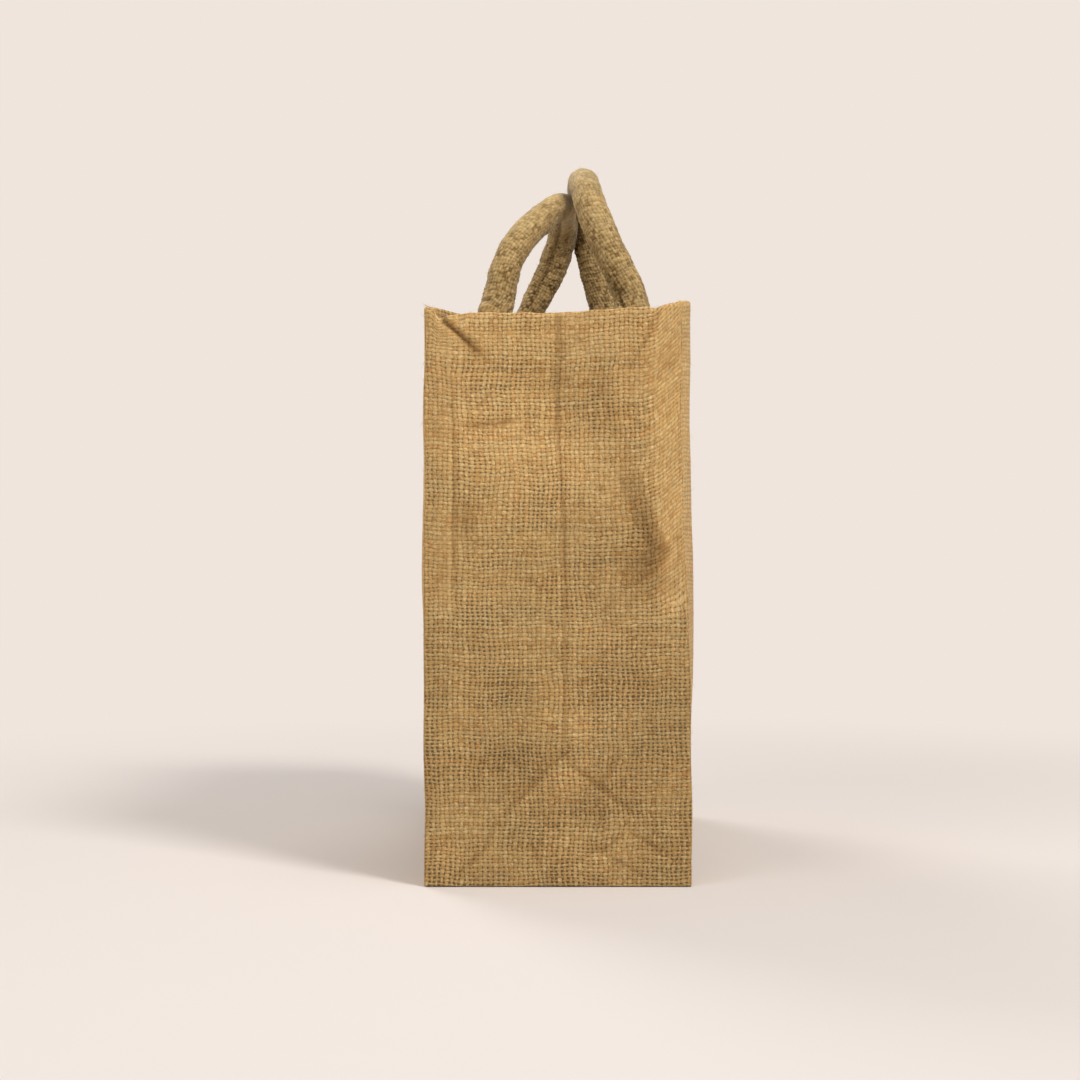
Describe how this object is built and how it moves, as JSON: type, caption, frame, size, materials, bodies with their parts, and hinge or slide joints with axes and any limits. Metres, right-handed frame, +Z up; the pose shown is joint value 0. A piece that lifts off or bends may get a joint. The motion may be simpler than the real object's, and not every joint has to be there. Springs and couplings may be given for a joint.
{
  "type": "jute gift bag",
  "caption": "Upright rectangular jute gift bag with pressed gussets, turned hem and padded rope handles that swing outward over the rim.",
  "frame": {"origin": "centre of the footprint, on the surface that the bag stands on", "axes": "+Z up, X across the gusset, Y across the wide face; -Y is the gusset that the picture shows"},
  "size_m": [0.1357, 0.25, 0.3724],
  "materials": {
    "jute_cloth": "coarse plain-weave natural jute, matte, with slubs and loose fibres",
    "jute_sleeve": "fine diagonal woven jute sleeve drawn over a rope, matte, slightly olive",
    "rope_core": "soft twisted filler rope",
    "laminating_film": "thin clear film bonded to the inside of the cloth, slight sheen over the weave",
    "sewing_thread": "natural coloured sewing thread"
  },
  "bodies": {
    "bag": {"near_gusset": "jute_cloth", "far_gusset": "jute_cloth", "left_panel": "jute_cloth", "right_panel": "jute_cloth", "base_panel": "jute_cloth", "near_gusset_film": "laminating_film", "far_gusset_film": "laminating_film", "left_panel_film": "laminating_film", "right_panel_film": "laminating_film", "base_film": "laminating_film", "corner_thread_near_left": "sewing_thread", "corner_thread_near_right": "sewing_thread", "corner_thread_far_left": "sewing_thread", "corner_thread_far_right": "sewing_thread", "base_seam_thread": "sewing_thread", "hem_thread": "sewing_thread", "left_handle_near_end": "jute_sleeve", "left_handle_far_end": "jute_sleeve", "right_handle_near_end": "jute_sleeve", "right_handle_far_end": "jute_sleeve", "left_handle_near_stitch": "sewing_thread", "left_handle_far_stitch": "sewing_thread", "right_handle_near_stitch": "sewing_thread", "right_handle_far_stitch": "sewing_thread"},
    "handle_left": {"left_handle_sleeve": "jute_sleeve", "left_handle_core": "rope_core"},
    "handle_right": {"right_handle_sleeve": "jute_sleeve", "right_handle_core": "rope_core"}
  },
  "joints": [
    {"name": "left_handle_swing", "type": "hinge", "parent": "bag", "child": "handle_left", "pos_m": [-0.023, 0, 0.2953], "axis": [-0.1273, -0.9919, 0], "range_deg": [0, 95]},
    {"name": "right_handle_swing", "type": "hinge", "parent": "bag", "child": "handle_right", "pos_m": [0.0344, 0, 0.2958], "axis": [-0.0865, 0.9963, 0], "range_deg": [0, 100]}
  ]
}
